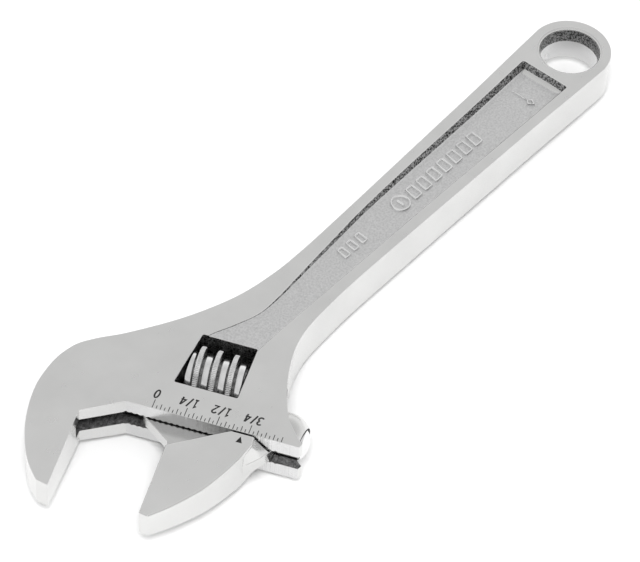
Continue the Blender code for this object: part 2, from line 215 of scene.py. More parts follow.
def add_loft(edit, rings, finish, closed=False, cap_finish=None):
    """The same skin added to a mesh. closed joins the last ring to the first instead of capping both."""
    rows = [[edit.verts.new(p) for p in ring] for ring in rings]
    pairs = list(zip(rows, rows[1:]))
    if closed:
        pairs.append((rows[-1], rows[0]))
    for band, (low, high) in enumerate(pairs):
        index = finish[band] if isinstance(finish, list) else finish
        for i in range(len(low)):
            j = (i + 1) % len(low)
            edit.faces.new((low[i], low[j], high[j], high[i])).material_index = index
    if not closed:
        first = finish[0] if isinstance(finish, list) else finish
        for row in (rows[0], rows[-1]):
            edit.faces.new(row).material_index = first if cap_finish is None else cap_finish


def slide_frame(n):
    """Frame on the middle plane at n: local Z along S and local X along N."""
    turn = Matrix((N, -UP, S)).transposed().to_4x4()
    x, y = plan(n, 0.0)
    return Matrix.Translation((x, y, 0.0)) @ turn


def shaft(name, profile, n, finish, steps=64):
    """A profile of (radius, u) turned about the line at n that runs along S."""
    place = slide_frame(n)
    edit = bmesh.new()
    rings = []
    for r, u in profile:
        if r == 0.0:
            rings.append([edit.verts.new(place @ Vector((0.0, 0.0, u)))])
            continue
        turns = [2 * math.pi * i / steps for i in range(steps)]
        ring = [place @ Vector((r * math.cos(a), r * math.sin(a), u)) for a in turns]
        rings.append([edit.verts.new(p) for p in ring])
    bands = len(rings) - 1
    for band in range(bands):
        low, high = rings[band], rings[band + 1]
        index = finish[band] if isinstance(finish, list) else finish
        for i in range(steps):
            j = (i + 1) % steps
            a = [low[0]] if len(low) == 1 else [low[i], low[j]]
            b = [high[0]] if len(high) == 1 else [high[j], high[i]]
            edit.faces.new(a + b).material_index = index
    return from_bmesh(name, edit)


def rod(name, radius, start, end, n, finish, steps=64):
    return shaft(name, [(0.0, end), (radius, end), (radius, start), (0.0, start)], n, finish, steps)


def box(name, low, high, n, finish):
    """A block in the slide frame at n, between two corners (along N, along -Z, along S)."""
    (x0, y0, z0), (x1, y1, z1) = low, high
    place = slide_frame(n)
    bottom = [(x0, y0, z0), (x1, y0, z0), (x1, y1, z0), (x0, y1, z0)]
    rings = [[place @ Vector(p) for p in bottom], [place @ Vector((x, y, z1)) for x, y, z in bottom]]
    return loft(name, rings, finish)


def prism(name, outline, low, high, finish):
    rings = [[(x, y, z) for x, y in outline] for z in (low, high)]
    return loft(name, rings, finish)


def evaluated(item):
    """Replace an object's mesh by its shape with all modifiers applied."""
    bpy.context.view_layer.update()
    graph = bpy.context.evaluated_depsgraph_get()
    shape = item.evaluated_get(graph)
    mesh = bpy.data.meshes.new_from_object(shape, preserve_all_data_layers=True, depsgraph=graph)
    item.modifiers.clear()
    item.data = mesh
    return item


def combine(item, operation, other):
    change = item.modifiers.new("Change", "BOOLEAN")
    change.operation = operation
    change.solver = "EXACT"
    change.material_mode = "INDEX"
    change.object = other
    evaluated(item)
    bpy.data.objects.remove(other, do_unlink=True)
    return item


def bevel(item, width, segments, weighted=False, angle=30):
    change = item.modifiers.new("Round", "BEVEL")
    change.width = width
    change.segments = segments
    change.limit_method = "WEIGHT" if weighted else "ANGLE"
    change.angle_limit = math.radians(angle)
    change.use_clamp_overlap = True
    change.harden_normals = False
    return evaluated(item)


def forging(name, outline, edge_round):
    """A plate of the forging's thickness with weighted edge rounds: edge_round(place, upright) in mm."""
    edit = bmesh.new()
    edit.faces.new([edit.verts.new((x, y, 0.0)) for x, y in outline])
    for place, normal in (((0.0, 0.0), (1, 0, 0)), ((HEAD_X, 0.0), (1, 0, 0)), (plan(TAPER_N, 0.0), N)):
        everything = edit.verts[:] + edit.edges[:] + edit.faces[:]
        spot = Vector((place[0], place[1], 0.0))
        bmesh.ops.bisect_plane(edit, geom=everything, plane_co=spot, plane_no=normal, dist=0.0001)
    base = edit.faces[:]
    raised = bmesh.ops.extrude_face_region(edit, geom=base, use_keep_orig=True)
    top = [v for v in raised["geom"] if isinstance(v, bmesh.types.BMVert)]
    bottom = [v for v in edit.verts if v not in set(top)]
    for vertices, sign in ((top, 1), (bottom, -1)):
        for vertex in vertices:
            vertex.co.z = sign * half_thickness(vertex.co.x, vertex.co.y)
    bmesh.ops.recalc_face_normals(edit, faces=edit.faces)
    weights = edit.edges.layers.float.new("bevel_weight_edge")
    for edge in edit.edges:
        if len(edge.link_faces) != 2 or edge.calc_face_angle() < math.radians(28):
            continue
        middle = (edge.verts[0].co + edge.verts[1].co) / 2
        direction = edge.verts[1].co - edge.verts[0].co
        edge[weights] = edge_round(middle, abs(direction.normalized().z) > 0.9)
    for face in edit.faces:
        face.material_index = SATIN if abs(face.normal.z) > 0.9 else SIDE
    item = from_bmesh(name, edit)
    return bevel(item, 1.0, 5, weighted=True)


# ---------------------------------------------------------------- body

def body_outline():
    edge = [(8.3, -8.2), (20.7, -7.7), (36.1, -7.3), (51.4, -6.9), (65.0, -6.55), (78.6, -6.35)]
    edge += [(87.6, -6.8), (96.6, -8.5), (106.5, -12.4), (116.1, -17.8), (121.5, -21.6)]
    edge += [(125.6, -23.6), (131.2, -23.9), (138.3, -22.1), (145.2, -18.0), (150.4, -12.7), (153.1, -7.7)]
    throat = [(152.3, -5.9), plan(121.1, FIXED_FACE_U), plan(RAIL_N, -56.0), plan(RAIL_N, -21.95)]
    throat += [plan(115.5, -21.6), plan(114.6, -22.6)]
    shoulder = [plan(110.9, -25.6), (109.1, 15.6), (104.5, 12.0), (100.0, 9.4), (96.4, 7.9), (91.5, 6.9)]
    shoulder += [(84.0, 6.45), (76.5, 6.35), (64.0, 6.6), (51.4, 6.9), (36.1, 7.3), (20.7, 7.7), (8.3, 8.2)]
    end = arc((0.0, 0.0), END_R, 92.0, 268.0, 56)
    return end + smooth(edge)[:-1] + throat + smooth(shoulder)


def body_edge(place, upright):
    n, u = to_nu(place)
    if upright:
        return 0.7 if u > -24.0 and n > RAIL_N - 0.5 else 0.35
    if n > RAIL_N - 0.3 and u > -56.5:
        return 0.22
    if n > RAIL_N and u > FIXED_FACE_U - 0.5:
        return 0.3
    if place.y > 0.0 and place.x > 60.0:
        return 0.95
    return 0.8 if place.y > 0.0 else 0.6


def panel_outline():
    low = [(10.4, -5.6), (25.9, -5.25), (46.3, -5.0), (61.5, -4.6), (71.6, -3.9), (81.6, -3.1)]
    low += [(91.6, -2.3), (96.5, -2.5), (101.5, -4.0), (105.4, -5.6), (109.0, -6.6)]
    high = [(105.2, 3.6), (96.5, 3.6), (76.5, 4.1), (61.5, 4.4), (46.3, 4.8), (31.0, 5.3), (10.4, 5.85)]
    top, bottom = (PANEL_END_X, 5.85), (PANEL_END_X, -5.6)
    top_corner = corner((10.4, 5.85), top, bottom, 0.7, 6)
    low_corner = corner(top, bottom, (10.4, -5.6), 0.7, 6)
    wall = [(PANEL_END_X, 4.6 - 8.8 * i / 8) for i in range(9)]
    return top_corner + wall + low_corner + smooth(low)[1:] + smooth(high)[:-1]


def panel_cutter():
    """The space above one panel's floor: filleted foot, drafted walls and a rounded lip."""
    outline = panel_outline()
    lip = 0.16
    rings = [[] for _ in range(13)]
    for (x, y), move in zip(outline, miters(outline)):
        surface = half_thickness(x, y)
        floor = floor_height(x)
        at_end = max(0.0, 1 - (y / 5.6) ** 6) * (x < PANEL_END_X + 0.1)
        low_side = (y < 0.0) * min(1.0, x / 70) * min(1.0, max(0.0, (HEAD_X - x) / 12))
        draft = PANEL_DRAFT + 0.3 * at_end + 0.6 * low_side
        foot = min(0.25 + 0.6 * at_end, 0.6 * (surface - floor))
        places = []
        for i in range(6):
            a = math.radians(18 * i)
            height = floor + foot * (1 - math.cos(a))
            places.append((foot * (1 - math.sin(a)) + draft * (surface - height), height))
        middle = (floor + foot + surface) / 2
        places.append((draft * (surface - middle), middle))
        for i in range(5):
            b = math.radians(22.5 * i)
            inward = draft * lip * (1 - i / 4) - lip * (1 - math.cos(b))
            places.append((inward, surface - lip * (1 - math.sin(b))))
        places.append((-lip - 0.4, surface + 0.9))
        for ring, (distance, height) in zip(rings, places):
            spot = Vector((x, y)) + move * distance
            ring.append((spot.x, spot.y, height))
    # The drafted walls take the dark wall finish as painted shade of the recess; the foot and floor take
    # the floor finish, the lip the satin finish
    bands = [FLOOR] * 4 + [SHADED_WALL] * 3 + [SATIN] * 5
    return loft("panel_space", rings, bands, cap_finish=FLOOR)


def stroke(points, width, height, closed=False):
    """Rings of a half-round raised line along plan points, sunk a little in the panel's floor."""
    rings = []
    count = len(points)
    for i, here in enumerate(points):
        before = points[i - 1] if closed or i else here
        after = points[(i + 1) % count] if closed or i < count - 1 else here
        way_in = (Vector(here) - Vector(before)).normalized() if before != here else None
        way_out = (Vector(after) - Vector(here)).normalized() if after != here else None
        mean = ((way_in or way_out) + (way_out or way_in)).normalized()
        reach = width / 2 / max(0.5, mean.dot(way_out or way_in))
        side = Vector((-mean.y, mean.x)) * reach
        x, y = here
        base = floor_height(x)
        sunk = base - 0.25
        ring = [(x - side.x, y - side.y, sunk), (x + side.x, y + side.y, sunk)]
        for j in range(7):
            a = math.pi * j / 6
            reach, rise = math.cos(a), height * math.sin(a)
            ring.append((x + side.x * reach, y + side.y * reach, base + rise))
        rings.append(ring)
    return rings


def leaned_frame(x, width, low, high, lean, radius):
    corners = [(x, low), (x + width, low), (x + width + lean, high), (x + lean, high)]
    return rounded(corners, radius, 2)


def raised_marks():
    """Plain raised shapes on the panel's floor: a ring, a row of leaned frames, bars and a pointer."""
    rings = [(arc((55.3, -0.15), 1.9, 0, 345, 23), 0.55, 0.4)]
    for i in range(7):
        rings.append((leaned_frame(30.6 + 3.25 * i, 1.9, -1.55, 1.45, 0.4, 0.3), 0.52, 0.4))
    for i in range(3):
        rings.append((leaned_frame(67.0 + 2.6 * i, 1.3, -1.35, 1.05, 0.2, 0.25), 0.48, 0.36))
    rings.append(([(15.9, 1.25), (16.6, 2.0), (15.9, 2.9), (15.2, 2.0)], 0.48, 0.38))
    bars = [([(55.3, -1.0), (55.3, 0.7)], 0.6, 0.4), ([(15.9, -2.6), (15.8, -1.0), (15.9, 0.7)], 0.5, 0.38)]
    edit = bmesh.new()
    for points, width, height in rings:
        add_loft(edit, stroke(points, width, height, closed=True), KNURL, closed=True)
    for points, width, height in bars:
        add_loft(edit, stroke(points, width, height), KNURL)
    return from_bmesh("raised_marks", edit)


def mirrored(item):
    """The same cutter for the underside, turned over about the X axis."""
    item.data.transform(Matrix.Rotation(math.pi, 4, "X"))
    return item


def flipped(item):
    """The same cutter for the underside, reflected in the middle plane."""
    item.data.transform(Matrix.Scale(-1.0, 4, UP))
    item.data.flip_normals()
    return item


def hole_cutter():
    """The hanging hole: straight bore and a rounded chamfer at each mouth."""
    steps, chamfer, shade_from = 96, HOLE_CHAMFER, 0.6
    clear = END_HALF + 2.0
    profile = [(HOLE_R, shade_from), (HOLE_R, END_HALF - chamfer)]
    for i in range(1, 7):
        a = math.radians(15 * i)
        profile.append((HOLE_R + chamfer * (1 - math.cos(a)), END_HALF - chamfer + chamfer * math.sin(a)))
    profile.append((HOLE_R + chamfer + 1.0, clear))
    profile = [(r, -z) for r, z in reversed(profile)] + profile
    turns = [2 * math.pi * i / steps for i in range(steps)]
    rings = [[(r * math.cos(a), r * math.sin(a), z) for a in turns] for r, z in profile]
    bands = []
    for low, high in zip(profile, profile[1:]):
        straight = low[0] == HOLE_R and high[0] == HOLE_R
        # The upper part of the bore takes the dark wall finish as painted shade; the lower part takes the
        # lighter rail finish as a painted reflection of the floor seen through the hole
        bands.append(SIDE if not straight else SHADED_WALL if low[1] > 0.0 else RAIL)
    return loft("hole_space", rings, bands, cap_finish=SATIN)


def window_cutter():
    """The knurl's window through the head, with a small round at both mouths."""
    corners = [plan(WINDOW_N[0], WINDOW_LEAN_U[0]), plan(WINDOW_N[0], WINDOW_U[1])]
    corners += [plan(WINDOW_N[1], WINDOW_U[1]), plan(WINDOW_N[1], WINDOW_LEAN_U[1])]
    outline = rounded(corners, 0.4, 5)
    moves = miters(outline)
    lip = 0.14
    profile = [(0.0, HEAD_HALF - lip)]
    profile += [(lip * (math.cos(a) - 1), HEAD_HALF - lip + lip * math.sin(a))
                for a in (math.radians(22.5 * i) for i in range(1, 5))]
    profile.append((-lip - 0.3, HEAD_HALF + 1.0))
    profile = [(d, -z) for d, z in reversed(profile)] + profile
    rings = [[(p[0] + m.x * d, p[1] + m.y * d, z) for p, m in zip(outline, moves)] for d, z in profile]
    # The window's straight wall takes the dark wall finish as painted shade of the deep opening; the rounds
    # at its mouths keep the side finish
    bands = [SIDE] * 5 + [SHADED_WALL] + [SIDE] * 5
    return loft("window_space", rings, bands)


def knurl_space():
    """Room for the knurl in the window's two end walls, kept below both faces of the head."""
    reach = KNURL_R + KNURL_CLEARANCE
    # Its faces take the dark wall finish as painted shade inside the window
    space = rod("knurl_space", reach, WINDOW_U[0] + 0.35, WINDOW_U[1], KNURL_N, SHADED_WALL)
    half = 4.3
    low, high = (-reach - 1, -half, WINDOW_U[0]), (reach + 1, half, WINDOW_U[1] + 1)
    keep = box("knurl_space_limit", low, high, KNURL_N, SHADED_WALL)
    return combine(space, "INTERSECT", keep)


def slot_cutter():
    open_n = RAIL_N + 12.0
    places = [(ROD_N, BORE_END_U), (113.9, -70.7), (116.2, -71.3), (120.9, -64.6), (124.6, -63.0)]
    places += [(open_n, -63.0), (open_n, 0.0), (ROD_N, 0.0)]
    # The slot's faces take the near-black slot finish as painted shade inside the slot
    return prism("slot_space", [plan(n, u) for n, u in places], -SLOT_HALF, SLOT_HALF, SHADED_STEEL)


def tool_marks():
    """Scallops that a cutter left across both faces of the slot."""
    edit = bmesh.new()
    pitch, radius, flat, depth = 1.14, 0.9, 0.62, 0.2
    turns = [2 * math.pi * j / 24 for j in range(24)]
    for side in (-1, 1):
        for i in range(38):
            u = -68.6 + pitch * i
            middle = side * (SLOT_HALF - radius + depth)
            rings = []
            for n in (ROD_N + 1.0, RAIL_N + 0.6):
                ring = []
                for a in turns:
                    x, y = plan(n, u + radius * flat * math.cos(a))
                    ring.append((x, y, middle + radius * math.sin(a)))
                rings.append(ring)
            add_loft(edit, rings, SHADED_STEEL)
    return from_bmesh("tool_mark_space", edit)


def rail_lines():
    """Fine lines that the broach left down the rail, closer and wider by turns."""
    edit = bmesh.new()
    for i in range(58):
        u = -46.5 + 0.4 * i + 0.06 * math.sin(2.3 * i)
        width = 0.16 + 0.07 * math.sin(1.7 * i)
        depth = 0.035 + 0.02 * math.sin(2.9 * i)
        outer, inner = RAIL_N + 0.4, RAIL_N - depth
        spots = [(outer, u), (outer, u + width), (inner, u + width), (inner, u)]
        corners = [plan(*spot) for spot in spots]
        rings = [[(x, y, z) for x, y in corners] for z in (-HEAD_HALF - 0.2, HEAD_HALF + 0.2)]
        add_loft(edit, rings, RAIL)
    return from_bmesh("rail_line_space", edit)


def boss():
    """The ball-like end of the forging about the mouth of the rack bore, kept back from the rail."""
    profile = [(0.0, BOSS_U + BOSS_R)]
    for i in range(1, 30):
        a = math.radians(6 * i)
        profile.append((BOSS_R * math.sin(a), BOSS_U + BOSS_R * math.cos(a)))
    profile.append((0.0, BOSS_U - BOSS_R))
    item = shaft("boss", profile, BOSS_N, SIDE, 72)
    low = (RAIL_N - BOSS_N, -2 * BOSS_R, BOSS_U - 2 * BOSS_R)
    high = (2 * BOSS_R, 2 * BOSS_R, BOSS_U + 2 * BOSS_R)
    return combine(item, "DIFFERENCE", box("rail_side_space", low, high, BOSS_N, RAIL))


def pin_space():
    """Room for the pin, with a wider seat for its head that opens on the shoulder."""
    start, seat, outside = PIN_START_U - GAP, PIN_HEAD_U[0] - GAP, BOSS_U + 2 * BOSS_R
    shank, head = PIN_R + GAP, PIN_HEAD_R + GAP
    profile = [(0.0, outside), (head, outside), (head, seat), (shank, seat), (shank, start), (0.0, start)]
    return shaft("pin_space", profile, KNURL_N, SHADED_STEEL, 48)


def ticks():
    """Scale ticks every 1/32 inch from 0 to 1, cut into the face just behind the rail."""
    edit = bmesh.new()
    width, behind = 0.15, RAIL_N - 0.12
    for i in range(33):
        length = 2.0 if i % 8 == 0 and i < 32 else 1.25 if i % 2 == 0 else 0.75
        u = SCALE_ZERO_U + QUARTER_INCH * i / 8
        low_u, high_u, far = u - width / 2, u + width / 2, behind - length
        corners = [plan(behind, low_u), plan(behind, high_u), plan(far, high_u), plan(far, low_u)]
        rings = [[(x, y, z) for x, y in corners] for z in (HEAD_HALF - PAINT_DEPTH, HEAD_HALF + 0.3)]
        add_loft(edit, rings, PAINT)
    return from_bmesh("tick_space", edit)


def numeral_lines():
    """Centre lines of the scale's signs in a cell of width 1 and height 2, from the lower left."""
    turns = [math.radians(15 * i) for i in range(26)]
    bowl = [(0.5 + 0.42 * math.cos(a), 1.0 + 0.95 * math.sin(a)) for a in turns]
    hook = arc((0.5, 1.45), 0.43, 170, -35, 9)
    upper = arc((0.45, 1.48), 0.42, 150, -75, 9)
    lower = arc((0.45, 0.55), 0.46, 80, -150, 10)
    return {
        "0": [bowl[:14], bowl[12:]],
        "1": [[(0.2, 1.55), (0.55, 1.95), (0.55, 0.05)], [(0.2, 0.05), (0.9, 0.05)]],
        "2": [hook + [(0.06, 0.08), (0.95, 0.08)]],
        "3": [upper, lower],
        "4": [[(0.72, 0.0), (0.72, 1.98)], [(0.66, 1.9), (0.05, 0.6), (1.0, 0.6)]],
        "/": [[(0.1, -0.1), (0.75, 2.05)]],
    }


def flat_line(points, width):
    """Left and right sides of a line of even width along plan points."""
    spots = [Vector(point) for point in points]
    ways = [(after - here).normalized() for here, after in zip(spots, spots[1:])]
    left, right = [], []
    for here, way_in, way_out in zip(spots, ways[:1] + ways, ways + ways[-1:]):
        mean = (way_in + way_out).normalized()
        reach = width / 2 / max(0.55, mean.dot(way_out))
        side = Vector((-mean.y, mean.x)) * reach
        left.append(here + side)
        right.append(here - side)
    return left, right


def numerals():
    """The scale's numbers as cutters, read from the jaw tips' side, one cutter for each line."""
    high, low = HEAD_HALF + 0.3, HEAD_HALF - PAINT_DEPTH
    scale, step, lean, margin, middle_n, line_width = 0.98, 1.25, 0.12, 0.1, 112.9, 0.34
    lines = numeral_lines()
    cutters = []
    for i, text in enumerate(("0", "1/4", "1/2", "3/4")):
        start = SCALE_ZERO_U + QUARTER_INCH * i + step * len(text) / 2
        for place, points in ((k, line) for k, sign in enumerate(text) for line in lines[sign]):
            spots = []
            for x, y in points:
                u = start - step * place - scale * (x + lean * y) - margin
                spots.append(plan(middle_n + scale * (y - 1.0), u))
            left, right = flat_line(spots, line_width)
            rings = [[(*a, low), (*b, low), (*b, high), (*a, high)] for a, b in zip(left, right)]
            edit = bmesh.new()
            add_loft(edit, rings, PAINT)
            cutters.append(from_bmesh("stroke_space", edit))
    return cutters


def name_surfaces(body):
    """Give the fillet at the panel's end and the rail's faces the finish that each one has."""
    for face in body.data.polygons:
        n, _ = to_nu(face.center)
        if face.material_index == FLOOR and abs(face.normal.z) < 0.97 and face.center.x < 10.5:
            face.material_index = SIDE
        if face.material_index == SIDE and face.normal.dot(N) > 0.97 and abs(n - RAIL_N) < 0.1:
            face.material_index = RAIL


def make_body():
    body = forging("wrench_body", body_outline(), body_edge)
    combine(body, "UNION", boss())
    for space in (window_cutter(), panel_cutter(), flipped(panel_cutter())):
        combine(body, "DIFFERENCE", space)
    combine(body, "UNION", raised_marks())
    combine(body, "UNION", mirrored(raised_marks()))
    # The bore takes the near-black slot finish as painted shade
    bore = rod("bore_space", ROD_R + GAP, BORE_END_U, 0.0, ROD_N, SHADED_STEEL)
    spaces = [hole_cutter(), knurl_space(), bore, slot_cutter(), tool_marks(), rail_lines()]
    spaces += [pin_space(), ticks()]
    for space in spaces + numerals():
        combine(body, "DIFFERENCE", space)
    name_surfaces(body)
    return body


# ---------------------------------------------------------------- movable jaw

FOOT_N = RAIL_N + GAP
FOOT_U = -30.5
FACE_START_N = 123.2
WEB_END = [(124.0, -45.2), (123.5, -34.5), (120.6, -30.4), (118.4, -28.6), (116.4, -27.4)]


def jaw_back():
    back = [(139.3, -43.9), (136.6, -41.0), (133.1, -37.9), (129.4, -35.2), (123.3, -32.1), (118.4, -30.4)]
    return smooth(back)


def jaw_outline():
    places = [(FACE_START_N, MOVING_FACE_U), (TIP_N, MOVING_FACE_U)] + jaw_back()
    places += [(FOOT_N, FOOT_U), (FOOT_N, -35.3)]
    return [plan(n, u) for n, u in places]


def jaw_edge(place, upright):
    n, u = to_nu(place)
    if upright:
        return 0.3
    if u < MOVING_FACE_U + 0.3:
        return 0.3
    return 0.22 if n < RAIL_N + 0.8 else 0.6


def along_line(line, n):
    """The u of a line of (n, u) points at n."""
    for (n0, u0), (n1, u1) in zip(line, line[1:]):
        if min(n0, n1) <= n <= max(n0, n1) and n0 != n1:
            return u0 + (u1 - u0) * (n - n0) / (n1 - n0)
    return line[-1][1]


def fairing():
    """A long slope from the jaw's back down to the web beside the rail."""
    back = jaw_back() + [(FOOT_N, FOOT_U)]
    web = WEB_END[1:]
    steps = 14
    stations = [FOOT_N + 0.02 + (FACE_START_N - FOOT_N) * i / steps for i in range(steps + 1)]
    rings = []
    for k in range(11):
        t = k / 10
        out = (1 - t) ** 1.1
        height = WEB_HALF - 0.05 + 3.0 * t
        ring = []
        for n in stations:
            u_back, u_web = along_line(back, n) - 0.1, along_line(web, n) - 0.12
            u = u_back + max(u_web - u_back, 0.0) * out
            x, y = plan(n, u)
            ring.append((x, y, height))
        ring += [(*plan(stations[-1], -40.0), height), (*plan(stations[0], -34.0), height)]
        rings.append(ring)
    bottom = [(x, y, 0.0) for x, y, _ in rings[0]]
    return loft("fairing", [bottom] + rings, SIDE)


def rod_profile():
    chamfer = 0.5
    edge = math.asin(ROD_R / BOSS_R)
    turns = [edge * i / 8 for i in range(9)]
    dome = [(BOSS_R * math.sin(a), BOSS_U + BOSS_R * math.cos(a)) for a in turns]
    return dome + [(ROD_R, ROD_START_U + chamfer), (ROD_R - chamfer, ROD_START_U), (0.0, ROD_START_U)]


def rack_cutter():
    """One rounded groove for each turn of the knurl's thread that can meet the rod."""
    floor = KNURL_N + KNURL_R + RACK_FLOOR_GAP - ROD_N
    first = math.ceil((ROD_START_U + RACK_GROOVE / 2 - CREST_PHASE_U) / PITCH)
    last = math.floor((BOSS_U + BOSS_R + RACK_GROOVE / 2 - CREST_PHASE_U) / PITCH)
    edit = bmesh.new()
    place = slide_frame(ROD_N)
    half, flank, foot, past = RACK_GROOVE / 2, 0.12, 0.3, ROD_R + 2.0
    wall = half - flank
    turn_in = foot * 0.3
    side_up = [(-past, half), (floor - foot, wall), (floor - turn_in, wall - turn_in), (floor, wall - foot)]
    section = [(x, -h) for x, h in side_up] + side_up[::-1]
    for turn in range(first, last + 1):
        u = CREST_PHASE_U + turn * PITCH
        rings = [[place @ Vector((x, side * past, u + h)) for x, h in section] for side in (-1, 1)]
        add_loft(edit, rings, KNURL)
    return from_bmesh("rack_space", edit)


def make_jaw():
    jaw = forging("wrench_jaw", jaw_outline(), jaw_edge)
    combine(jaw, "UNION", fairing())
    combine(jaw, "UNION", flipped(fairing()))
    web = [(ROD_N, ROD_START_U), (114.6, -52.4), (115.9, -52.8), (120.3, -46.5)]
    web += WEB_END + [(ROD_N, -27.0)]
    web_item = prism("web", [plan(n, u) for n, u in web], -WEB_HALF, WEB_HALF, SIDE)
    combine(jaw, "UNION", bevel(web_item, 0.18, 3))
    combine(jaw, "UNION", shaft("rack_rod", rod_profile(), ROD_N, KNURL, 72))
    combine(jaw, "DIFFERENCE", rack_cutter())
    tip, base, middle, half = RAIL_N + 1.05, RAIL_N + 2.45, -33.0, 0.62
    pointer = [plan(tip, middle), plan(base, middle - half), plan(base, middle + half)]
    combine(jaw, "DIFFERENCE", prism("pointer_space", pointer, 4.6, 5.4, PAINT))
    return jaw


# ---------------------------------------------------------------- knurl, pin and spring

def ridge(name, section, phase_u, finish, teeth=0):
    """A helical ridge about the knurl's core, swept ring by ring; teeth serrates its crest."""
    per_turn = teeth * 4 if teeth else 104
    half = section + [(r, -h) for r, h in reversed(section[:-1])]
    top = section[-1][0]
    before = math.ceil((phase_u - KNURL_START_U) / PITCH) + 1
    turns = before + math.ceil((KNURL_END_U - phase_u) / PITCH) + 1
    place = slide_frame(KNURL_N)
    rings = []
    for i in range(turns * per_turn + 1):
        a = 2 * math.pi * i / per_turn
        u = phase_u + PITCH * (i / per_turn - before)
        notch = (0.0, 0.06, 0.16, 0.06)[i % 4] if teeth else 0.0
        ring = []
        for r, h in half:
            reach = r - notch if r > top - 0.1 else r
            ring.append(place @ Vector((reach * math.cos(a), reach * math.sin(a), u + h)))
        rings.append(ring)
    return loft(name, rings, finish)


def knurl_limit():
    """The turned outline that trims the ridges, just inside the knurl's two end faces."""
    start, end, trim = KNURL_START_U, KNURL_END_U, 0.03
    low, high = KNURL_R - 0.9, KNURL_R + 0.3
    profile = [(0.0, end - trim), (low, end - trim), (low + 0.35, end - 0.1), (high, end - 0.65)]
    profile += [(high, start + 0.65), (low + 0.35, start + 0.1), (low, start + trim), (0.0, start + trim)]
    return shaft("knurl_limit", profile, KNURL_N, KNURL, 97)


def make_knurl():
    start, end = KNURL_START_U, KNURL_END_U
    # The core, seen between the ridges, takes the near-black slot finish as painted shade in the gaps of
    # the thread
    knurl = rod("wrench_knurl", KNURL_CORE_R, start, end, KNURL_N, SHADED_STEEL, 90)
    inside = KNURL_CORE_R - 0.5
    crest = [(inside, 0.62), (KNURL_ROOT_R, 0.56), (KNURL_R - 0.25, 0.5)]
    crest += [(KNURL_R - 0.07, 0.42), (KNURL_R, 0.3), (KNURL_R, 0.0)]
    band = [(inside, 0.72), (KNURL_ROOT_R - 0.25, 0.66), (KNURL_ROOT_R - 0.07, 0.58)]
    band += [(KNURL_ROOT_R, 0.42), (KNURL_ROOT_R, 0.0)]
    serrated = ridge("crest", crest, CREST_PHASE_U, CREST, 110)
    plain = ridge("band", band, CREST_PHASE_U + PITCH / 2, KNURL)
    for item in (serrated, plain):
        combine(knurl, "UNION", combine(item, "INTERSECT", knurl_limit()))
    combine(knurl, "DIFFERENCE", rod("knurl_bore", PIN_R + GAP, start - 2, end + 2, KNURL_N, SHADED_STEEL))
    combine(knurl, "DIFFERENCE", rod("spring_well", WELL_R, end - WELL_DEPTH, end + 1, KNURL_N, SHADED_STEEL))
    return knurl


def make_pin():
    low, high = PIN_HEAD_U
    chamfer, part = 0.3, 0.3 * 0.3
    profile = [(0.0, high), (PIN_HEAD_R - chamfer, high), (PIN_HEAD_R - part, high - part)]
    profile += [(PIN_HEAD_R, high - chamfer), (PIN_HEAD_R, low), (PIN_R, low)]
    profile += [(PIN_R, PIN_START_U + chamfer), (PIN_R - chamfer, PIN_START_U), (0.0, PIN_START_U)]
    pin = shaft("wrench_pin", profile, KNURL_N, PIN, 48)
    width, depth, past = 0.8, 0.8, 4.0
    near, far = (-width / 2, -past, high - depth), (width / 2, past, high + 1.0)
    slot = box("driver_slot", near, far, KNURL_N, SHADED_STEEL)
    return combine(pin, "DIFFERENCE", slot)


def make_spring():
    """A small coil round the pin in the knurl's well, made as rings of wire along its helix."""
    start = KNURL_END_U - WELL_DEPTH + GAP + SPRING_WIRE_R
    end = KNURL_END_U - SPRING_WIRE_R
    place = slide_frame(KNURL_N)
    per_turn, around = 40, 12
    count = SPRING_TURNS * per_turn
    rings = []
    for i in range(count + 1):
        a = 2 * math.pi * i / per_turn
        u = start + (end - start) * i / count
        ring = []
        for j in range(around):
            b = 2 * math.pi * j / around
            r = SPRING_R + SPRING_WIRE_R * math.cos(b)
            ring.append(place @ Vector((r * math.cos(a), r * math.sin(a), u + SPRING_WIRE_R * math.sin(b))))
        rings.append(ring)
    return loft("wrench_spring", rings, SPRING)


def finish_piece(item, angle=32):
    """Tidy a made shape, put it in the row frame and give it clean shading."""
    edit = bmesh.new()
    edit.from_mesh(item.data)
    bmesh.ops.remove_doubles(edit, verts=edit.verts, dist=0.0008)
    bmesh.ops.dissolve_degenerate(edit, edges=edit.edges, dist=0.0004)
    bmesh.ops.recalc_face_normals(edit, faces=edit.faces)
    edit.to_mesh(item.data)
    edit.free()
    item.data.transform(Matrix.Scale(MM, 4) @ Matrix.Translation(HOLE_PLACE))
    item.data.shade_smooth()
    item.data.set_sharp_from_angle(angle=math.radians(angle))
    weigh = item.modifiers.new("Even shading", "WEIGHTED_NORMAL")
    weigh.mode = "FACE_AREA"
    weigh.weight = 60
    weigh.keep_sharp = True
    evaluated(item)
    used = sorted({face.material_index for face in item.data.polygons})
    indices = [used.index(face.material_index) for face in item.data.polygons]
    item.data.materials.clear()
    for index in used:
        item.data.materials.append(FINISHES[index])
    item.data.polygons.foreach_set("material_index", indices)
    item.data.update()
    return item


# ---------------------------------------------------------------- finishes

def node(tree, kind, **values):
    made = tree.nodes.new(kind)
    for key, value in values.items():
        if key in made.inputs.keys():
            made.inputs[key].default_value = value
        else:
            setattr(made, key, value)
    return made


def noise(tree, place, scale, detail=3.0, rough=0.55):
    made = node(tree, "ShaderNodeTexNoise", Scale=scale, Detail=detail, Roughness=rough)
    tree.links.new(place, made.inputs["Vector"])
    return made.outputs["Fac"]


